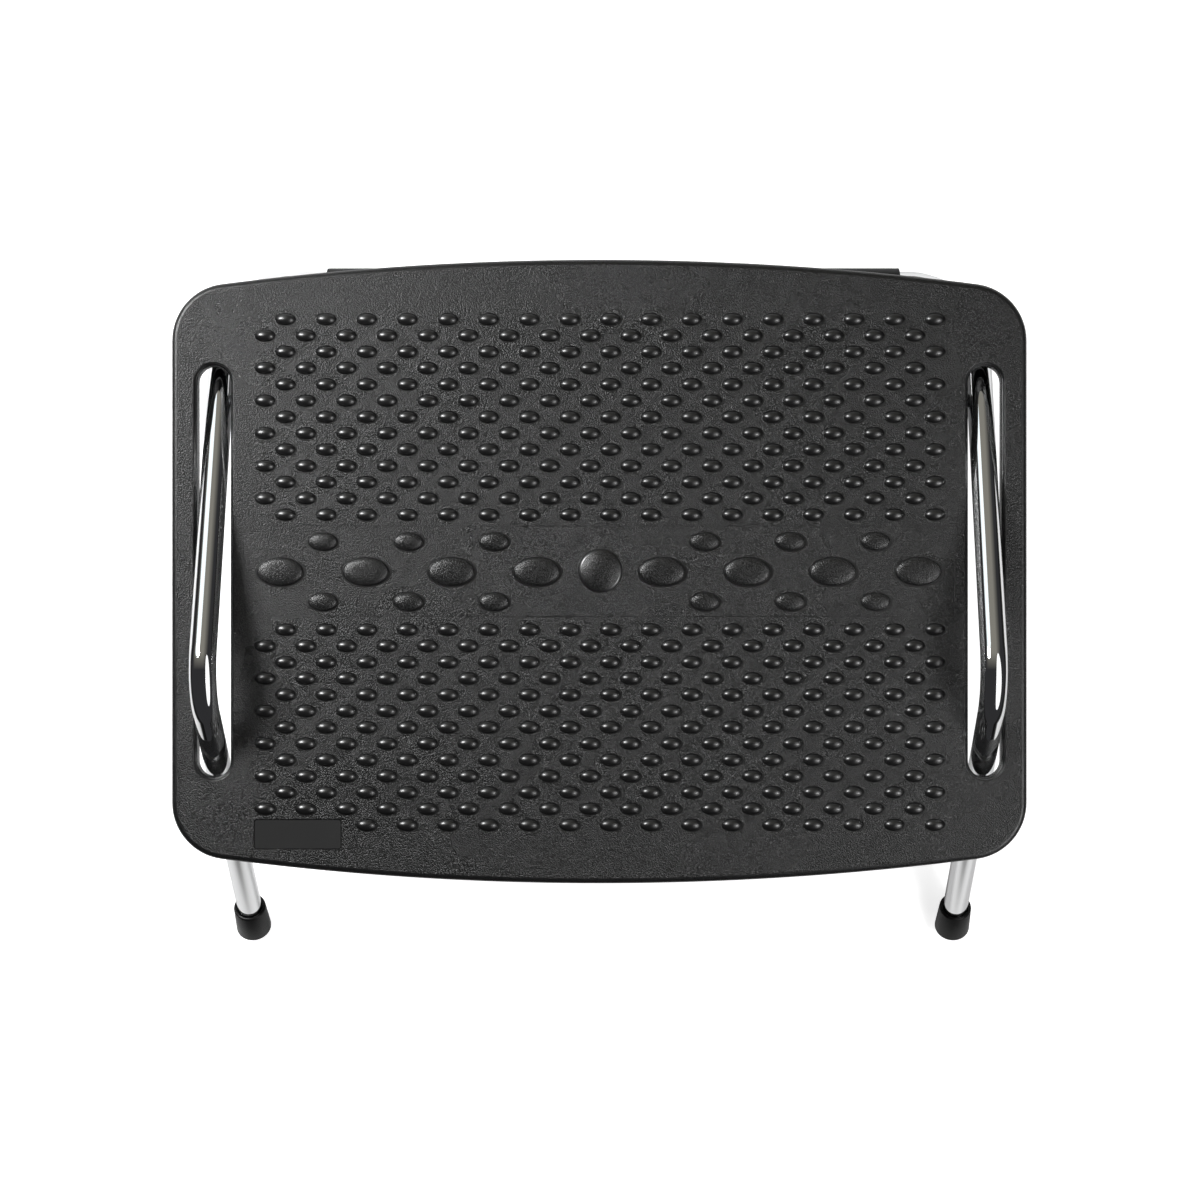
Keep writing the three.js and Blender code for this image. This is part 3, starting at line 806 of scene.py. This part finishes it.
def one_bump(bm, section, size, around, shadow_shift=(0, 0)):
    """A dome, open at its foot, from (share of radius, height) points, made oval."""
    kept = set(bm.verts)
    points = [bm.verts.new((share, 0, height)) for share, height in section]
    edges = [bm.edges.new(pair) for pair in zip(points, points[1:])]
    spin(bm, points + edges, (0, 0, 0), (0, 0, 1), math.tau, around, merge=True)
    fresh = [vert for vert in bm.verts if vert not in kept]
    bmesh.ops.remove_doubles(bm, verts=fresh, dist=MERGE)
    fresh = [vert for vert in bm.verts if vert not in kept]
    bmesh.ops.scale(bm, verts=fresh, vec=(size[0] / 2, size[1] / 2, 1))
    # The outer edge of the foot ring is moved here, to paint the bump's shadow on the lower
    # right.
    ring = [vert for vert in fresh if vert.co.z < (RING_FOOT + RING_TOP) / 2]
    bmesh.ops.translate(bm, verts=ring, vec=(*shadow_shift, 0))
    return fresh


def dome_section(height, ring, wall, inset, flatness, steepness, shares):
    """Half the section of a dome on a steep wall with a flat ring at its foot.

    Ring, inset and shares are parts of the radius. A higher flatness keeps the top level
    further out, and a lower steepness makes the shoulder rounder.
    """
    section = [(1 + ring, RING_FOOT), (1, RING_TOP), (inset, wall)]
    for share in shares:
        rise = (1 - share**flatness) ** steepness
        section.append((inset * share, wall + (height - wall) * rise))
    return section


def copy_bumps(bm, dome, places):
    """Copies a dome to all places but the first, then moves the first to its own."""
    faces = list({face for vert in dome for face in vert.link_faces})
    for x, y in places[1:]:
        made = bmesh.ops.duplicate(bm, geom=faces)["geom"]
        bmesh.ops.translate(bm, verts=verts_of(made), vec=(x, y, 0))
    bmesh.ops.translate(bm, verts=dome, vec=(*places[0], 0))


print("bump helpers ready")

# %% [markdown]
# The small bumps are polished domes on a low, steep foot. There are hundreds of them, so one has
# only twelve sides, and smooth shading between its few rings does the rest. None lies where the
# bare panel is.

# %% Small bumps
BUMP_SIZE = (11.2, 6.7)
BUMP_OFFSET = (0.35, -0.25)
# Painted shadow: the dark foot ring reaches further to the lower right, away from the key lamp.
SHADOW_SHIFT = (0.35, -0.25)
BUMP_HEIGHT = 2.5
BUMP_PITCH = 21.35
ROW_PITCH = 8.56
FIRST_ROW = 30.2
ROWS = 13
PER_ROW = 17
PANEL_OVERLAP = 1

small_places = []
for block in (-1, 1):
    for row in range(ROWS):
        y = block * (FIRST_ROW + row * ROW_PITCH)
        shift = BUMP_PITCH / 4 if row % 2 == 0 else -BUMP_PITCH / 4
        for index in range(PER_ROW):
            x = (index - (PER_ROW - 1) / 2) * BUMP_PITCH + shift
            clear_of_panel = [
                abs(place - middle) > (panel + bump) / 2 - PANEL_OVERLAP
                for place, middle, panel, bump in zip((x, y), PANEL_MIDDLE, PANEL_SIZE, BUMP_SIZE)
            ]
            if any(clear_of_panel):
                small_places.append((x + BUMP_OFFSET[0], y + BUMP_OFFSET[1]))
small_section = dome_section(
    BUMP_HEIGHT, ring=0.09, wall=0.35, inset=0.965, flatness=2.6, steepness=0.8,
    shares=(0.84, 0.55, 0),
)
bm = bmesh.new()
dome = one_bump(bm, small_section, BUMP_SIZE, 12, SHADOW_SHIFT)
copy_bumps(bm, dome, small_places)
bmesh.ops.recalc_face_normals(bm, faces=bm.faces)
bmesh.ops.transform(bm, matrix=board_place, verts=bm.verts)
finish_piece(bm, "small_bumps", "board", [glossy_black], sharp_angle=50)
print(len(small_places), "small bumps")

# %% [markdown]
# The band's ovals have nearly level tops, so they keep the tone of the plate and only their
# shoulders catch the light. The round one in the middle is a shallow dome with hardly any foot.
# Their rings and feet take the small bumps' dark glossy finish, as painted shade for the crease
# round each one.

# %% Larger bumps of the middle band
DOME_SHARES = (0.97, 0.91, 0.82, 0.71, 0.58, 0.42, 0.24, 0.1, 0)
BAND_FIRST = 32.9
BAND_PITCH = 45
MIDDLE_ROW = 15.8
BAND_MIDDLE = (0.6, 0.4)
CREASE_SHADE_BELOW = 0.7

band_x = [BAND_FIRST + BAND_PITCH * index for index in range(4)]
big_places = [(side * x, 0) for side in (-1, 1) for x in band_x]
middle_places = [
    (side * (x - BAND_PITCH / 2), row)
    for side in (-1, 1) for x in band_x[1:] for row in (-MIDDLE_ROW, MIDDLE_ROW)
]
big_section = dome_section(
    2.6, ring=0.09, wall=1.2, inset=0.97, flatness=4, steepness=0.75, shares=DOME_SHARES,
)
middle_section = dome_section(
    2.5, ring=0.12, wall=1.1, inset=0.96, flatness=3, steepness=0.75, shares=DOME_SHARES,
)
centre_section = dome_section(
    2.3, ring=0.03, wall=0.2, inset=0.992, flatness=2.2, steepness=0.8, shares=DOME_SHARES,
)
bm = bmesh.new()
# The last pair in each bump's call shifts its dark foot ring to the lower right: painted shadow.
copy_bumps(bm, one_bump(bm, big_section, (24.4, 15), 40, (0.4, -0.3)), big_places)
copy_bumps(bm, one_bump(bm, middle_section, (15.5, 9.6), 32, (0.35, -0.25)), middle_places)
copy_bumps(bm, one_bump(bm, centre_section, (22.6, 22.6), 48), [BAND_MIDDLE])
# Faces low on each bump, its ring and foot, get the darker glossy finish: painted shade in the
# crease.
for face in bm.faces:
    if face.calc_center_median().z < CREASE_SHADE_BELOW:
        face.material_index = 1
bmesh.ops.recalc_face_normals(bm, faces=bm.faces)
bmesh.ops.transform(bm, matrix=board_place, verts=bm.verts)
band_finishes = [band_black, glossy_black]
finish_piece(bm, "band_bumps", "board", band_finishes, sharp_angle=50)
print(len(big_places) + len(middle_places) + 1, "larger bumps")

# %% [markdown]
# ## Under the board
# The photograph doesn't show the underside. A board like this is stiffened by a grid of ribs,
# and two saddles carry the axle, each closed by a cap with two screws.

# %% Ribs
RIB = 2
RIB_DEPTH = 9
RIB_ROOT = 0.5
ROW_SPACING = 44
COLUMN_SPACING = 60
END_ROW_OFFSET = 8
SKIRT_BITE = 1


def add_rib(bm, middle, half):
    """A rib from the plate down, given by its middle and half its size, both (x, y)."""
    low, high = -RIB_DEPTH, RIB_ROOT - PLATE
    size = (2 * half[0], 2 * half[1], high - low, 1)
    place = Matrix.Translation((*middle, (low + high) / 2)) @ Matrix.Diagonal(size)
    bmesh.ops.create_cube(bm, size=1, matrix=place)


bm = bmesh.new()
row_end = LOOP_X - SLOT_RADIUS - SLOT_WALL / 2
for row in (-2, -1, 0, 1):
    add_rib(bm, (0, row * ROW_SPACING), (row_end, RIB / 2))
end_row = SLOT_HALF + SLOT_WALL + END_ROW_OFFSET
for side in (-1, 1):
    add_rib(bm, (0, side * end_row), (BOARD_WIDTH / 2 - SKIRT_BITE, RIB / 2))
for column in (-2, -1, 0, 1, 2):
    x = column * COLUMN_SPACING
    drop = BOARD_BOW - math.sqrt(BOARD_BOW**2 - x**2)
    add_rib(bm, (x, 0), (RIB / 2, BOARD_DEPTH / 2 - SKIRT_WALL / 2 - drop))
break_edges(bm, 0.3, 2)
bmesh.ops.transform(bm, matrix=board_place, verts=bm.verts)
finish_piece(bm, "board_ribs", "board", [smooth_black])

# %% [markdown]
# ### Bearings
# A saddle is a block with a half round groove for the axle. Its side view is drawn as a wire,
# filled and pushed sideways. The cap that closes it has a flange on each side of a half round
# shell.

# %% Helper that draws a side view and pushes it sideways
def push_side_view(bm, points, middle, length):
    """A prism along X from (y, z) points."""
    corners = [bm.verts.new((middle - length / 2, y, z)) for y, z in points]
    face = bm.faces.new(corners)
    made = bmesh.ops.extrude_face_region(bm, geom=[face])["geom"]
    bmesh.ops.translate(bm, verts=verts_of(made), vec=(length, 0, 0))


def arc_points(y, z, radius, start, end, steps):
    """(y, z) points of an arc between two angles in degrees."""
    angles = [math.radians(start + (end - start) * step / steps) for step in range(steps + 1)]
    return [(y + radius * math.cos(angle), z + radius * math.sin(angle)) for angle in angles]


print("side view helpers ready")

# %% Saddles
BEARING_X = 150
BEARING_LENGTH = 26
BEARING_SPAN = 38
AXLE_RADIUS = 4
FIT_GAP = 0.3
hinge_y, hinge_z = HINGE_ON_BOARD.y, HINGE_ON_BOARD.z
bore = AXLE_RADIUS + FIT_GAP
foot = hinge_z + FIT_GAP / 2
bm = bmesh.new()
toe_end, heel_end = hinge_y - BEARING_SPAN / 2, hinge_y + BEARING_SPAN / 2
for side in (-1, 1):
    groove = arc_points(hinge_y, hinge_z, bore, 178, 2, 16)
    outline = [(toe_end, foot), *groove, (heel_end, foot)]
    outline += [(heel_end, RIB_ROOT - PLATE), (toe_end, RIB_ROOT - PLATE)]
    push_side_view(bm, outline, side * BEARING_X, BEARING_LENGTH)
outward(bm)
break_edges(bm, 0.4, 2, over=60)
bmesh.ops.transform(bm, matrix=board_place, verts=bm.verts)
finish_piece(bm, "axle_saddles", "board", [smooth_black])

# %% Bearing caps
CAP_FLANGE = 3.5
CAP_WALL = 3.2
CAP_SHELL = AXLE_RADIUS + FIT_GAP + CAP_WALL
for side, name in ((-1, "left"), (1, "right")):
    bm = bmesh.new()
    reach = math.degrees(math.asin(CAP_FLANGE / CAP_SHELL))
    top = hinge_z - FIT_GAP / 2
    low = hinge_z - CAP_FLANGE
    shell = arc_points(hinge_y, hinge_z, CAP_SHELL, 180 + reach, 360 - reach, 16)
    groove = arc_points(hinge_y, hinge_z, bore, -2, -178, 16)
    outline = [(toe_end, top), (toe_end, low), *shell, (heel_end, low), (heel_end, top), *groove]
    push_side_view(bm, outline, side * BEARING_X, BEARING_LENGTH)
    outward(bm)
    break_edges(bm, 0.4, 2, over=60)
    bmesh.ops.transform(bm, matrix=board_place, verts=bm.verts)
    finish_piece(
        bm, f"clamp_cap_{name}", "board", [bearing_black],
        [f"bearing_cap_{name}"],
    )

# %% [markdown]
# ### Screws and axle
# Four self-tapping screws with low round heads pull the caps up to the saddles. Nothing shows
# what drives them, so their heads stay plain. The axle is a drawn rod that is welded between
# the side loops.

# %% Bearing screws
SCREW_HEAD = 3.5
SCREW_SHANK = 1.6
SCREW_POINT = 2.5
HEAD_HEIGHT = 2.2
SCREW_LENGTH = 15
SCREW_SPREAD = 13
head_foot = hinge_z - CAP_FLANGE - FIT_GAP / 2 - HEAD_HEIGHT
screw_section = [
    (0, 0), (SCREW_HEAD * 0.62, 0.15), (SCREW_HEAD * 0.9, 0.75), (SCREW_HEAD, 1.5),
    (SCREW_HEAD, HEAD_HEIGHT), (SCREW_SHANK, HEAD_HEIGHT),
    (SCREW_SHANK, HEAD_HEIGHT + SCREW_LENGTH - SCREW_POINT), (0, HEAD_HEIGHT + SCREW_LENGTH),
]
for side, side_name in ((-1, "left"), (1, "right")):
    for end, end_name in ((-1, "toe"), (1, "heel")):
        bm = bmesh.new()
        place = Matrix.Translation((side * BEARING_X, hinge_y + end * SCREW_SPREAD, head_foot))
        turned(bm, screw_section, place, 28)
        bmesh.ops.transform(bm, matrix=board_place, verts=bm.verts)
        finish_piece(
            bm, f"pan_screw_{side_name}_{end_name}", "board", [zinc],
            [f"bearing_screw_{side_name}_{end_name}"],
        )

# %% Cross axle
AXLE_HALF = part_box("cross_axle")[1].x / MM
bm = bmesh.new()
axle_place = Matrix.Translation(axle_middle) @ Matrix.Rotation(math.pi / 2, 4, "Y")
axle_section = [
    (0, -AXLE_HALF), (AXLE_RADIUS, -AXLE_HALF), (AXLE_RADIUS, AXLE_HALF), (0, AXLE_HALF),
]
turned(bm, axle_section, axle_place, 40)
bmesh.ops.transform(bm, matrix=to_metres, verts=bm.verts)
finish_piece(bm, "axle_rod", "stand", [zinc], ["cross_axle"])

# %% [markdown]
# ## Stage and light
# The photograph shows the object on pure white, but its chrome mirrors a dim room. So the floor
# is white where the camera looks straight at it, with a little glow, and it keeps the object's
# shadow. What the object mirrors of the floor is pale only on a strip of paper under it.

# %% White floor
FLOOR_HALF = 4
PAPER_EDGE = (0.5, 0.58)
PAPER_WHITE = grey(0.9)
ROOM_FLOOR = grey(0.04)
GLOW_SEEN = 0.8
GLOW_MIRRORED = 0.08


def white_floor():
    bm = bmesh.new()
    bmesh.ops.create_grid(bm, x_segments=1, y_segments=1, size=FLOOR_HALF)
    mesh = bpy.data.meshes.new("floor")
    bm.to_mesh(mesh)
    bm.free()
    floor = bpy.data.objects.new("floor", mesh)
    bpy.context.scene.collection.objects.link(floor)
    floor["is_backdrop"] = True
    finish, shader = new_finish("floor_white", PAPER_WHITE, 0.9)
    shader.inputs["Specular IOR Level"].default_value = 0
    tree = finish.node_tree
    place = add_node(tree, "ShaderNodeTexCoord")
    split = add_node(tree, "ShaderNodeSeparateXYZ")
    tree.links.new(place.outputs["Object"], split.inputs["Vector"])
    across = math_node(tree, "ABSOLUTE", split.outputs["X"])
    paper = spread(tree, across, *PAPER_EDGE, 1, 0)
    path = add_node(tree, "ShaderNodeLightPath")
    mirrored = math_node(tree, "MULTIPLY", paper, path.outputs["Is Glossy Ray"])
    mirrored = math_node(tree, "MULTIPLY", mirrored, GLOW_MIRRORED)
    paper = math_node(tree, "MAXIMUM", paper, path.outputs["Is Camera Ray"])
    mix_colors(finish, paper, ROOM_FLOOR, PAPER_WHITE)
    shader.inputs["Emission Color"].default_value = (1, 1, 1, 1)
    glow = math_node(tree, "MULTIPLY", path.outputs["Is Camera Ray"], GLOW_SEEN)
    glow = math_node(tree, "ADD", glow, mirrored)
    tree.links.new(glow, shader.inputs["Emission Strength"])
    mesh.materials.append(finish)


white_floor()
print("floor laid")

# %% [markdown]
# The room round the board is nearly black, as a studio is outside its lamps, with one wide patch
# of warm grey wall up the picture. The chrome mirrors that patch as the grey stripe along each
# tube. The room is laid square to the tilted board, so the patch is easy to place.

# %% Sky
ROOM_DARK = (0.03, 0.03, 0.032, 1)
WALL_GREY = (0.24, 0.23, 0.2, 1)
world = bpy.data.worlds.new("studio")
bpy.context.scene.world = world
world.use_nodes = True
sky = world.node_tree
background = sky.nodes["Background"]
direction = add_node(sky, "ShaderNodeTexCoord")
lean = add_node(sky, "ShaderNodeMapping", vector_type="POINT")
lean.inputs["Rotation"].default_value = (TILT, 0, 0)
split = add_node(sky, "ShaderNodeSeparateXYZ")
sky.links.new(direction.outputs["Generated"], lean.inputs["Vector"])
sky.links.new(lean.outputs["Vector"], split.inputs["Vector"])
up_the_picture = spread(sky, split.outputs["Y"], -0.05, 0.4, 0, 1)
off_the_floor = spread(sky, split.outputs["Z"], 0.2, 0.5, 0, 1)
left_of_picture = spread(sky, split.outputs["X"], 0.75, 0.2, 0, 1)
patch = math_node(sky, "MULTIPLY", up_the_picture, off_the_floor)
patch = math_node(sky, "MULTIPLY", patch, left_of_picture)
shade = add_node(sky, "ShaderNodeMix", data_type="RGBA")
shade.inputs["A"].default_value = ROOM_DARK
shade.inputs["B"].default_value = WALL_GREY
sky.links.new(patch, shade.inputs["Factor"])
path = add_node(sky, "ShaderNodeLightPath")
mix = add_node(sky, "ShaderNodeMix", data_type="RGBA")
mix.inputs["B"].default_value = (1, 1, 1, 1)
sky.links.new(path.outputs["Is Camera Ray"], mix.inputs["Factor"])
sky.links.new(shade.outputs["Result"], mix.inputs["A"])
sky.links.new(mix.outputs["Result"], background.inputs["Color"])
background.inputs["Strength"].default_value = 1.0
print("sky set")

# %% [markdown]
# Two soft boxes light the board, a strong one beyond its upper left corner and a weaker one
# along its right side. Each is a wide dim panel with a small bright core, as a real soft box is.
# The cores make the highlights on the bumps and the white band on each tube, and the panels
# lift the grain. Places are given across the photograph, up it, and out towards the camera.

# %% Soft boxes
def soft_box(name, first_end, last_end, width, brightness, color=(1, 1, 1)):
    """A long oval area lamp between two points that faces the board. All sizes are in metres."""
    first = board_place @ (Vector(first_end) / MM)
    last = board_place @ (Vector(last_end) / MM)
    middle = (first + last) / 2
    lengthways = (last - first).normalized()
    away = middle - board_place @ Vector()
    away = (away - lengthways * away.dot(lengthways)).normalized()
    data = bpy.data.lights.new(name, "AREA")
    data.shape = "ELLIPSE"
    data.size, data.size_y = width, (last - first).length
    data.energy = math.pi * data.size * data.size_y * brightness
    data.color = color
    lamp = bpy.data.objects.new(name, data)
    bpy.context.scene.collection.objects.link(lamp)
    turn = Matrix((lengthways.cross(away), lengthways, away)).transposed().to_4x4()
    lamp.matrix_world = Matrix.Translation(middle) @ turn
    lamp.visible_camera = False
    print(name, "at", rounded(middle, 2), "with", round(data.energy, 1), "watts")


soft_box("key_panel", (-1.15, 0.3, 0.75), (-0.6, 1.4, 0.95), 0.75, 0.85, (0.86, 0.95, 1))
soft_box("key_core", (-0.8, 0.25, 0.76), (-0.64, 0.55, 0.8), 0.42, 29)
soft_box("fill_panel", (0.62, 0.35, 0.95), (0.8, -1.4, 0.35), 0.75, 1.0)
soft_box("fill_core", (0.74, -0.25, 0.83), (0.69, -0.6, 0.83), 0.26, 11)

# %% Picture settings
bpy.context.scene.view_settings.view_transform = "Standard"
low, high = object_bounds()
print("visual reaches from", rounded(low), "to", rounded(high))
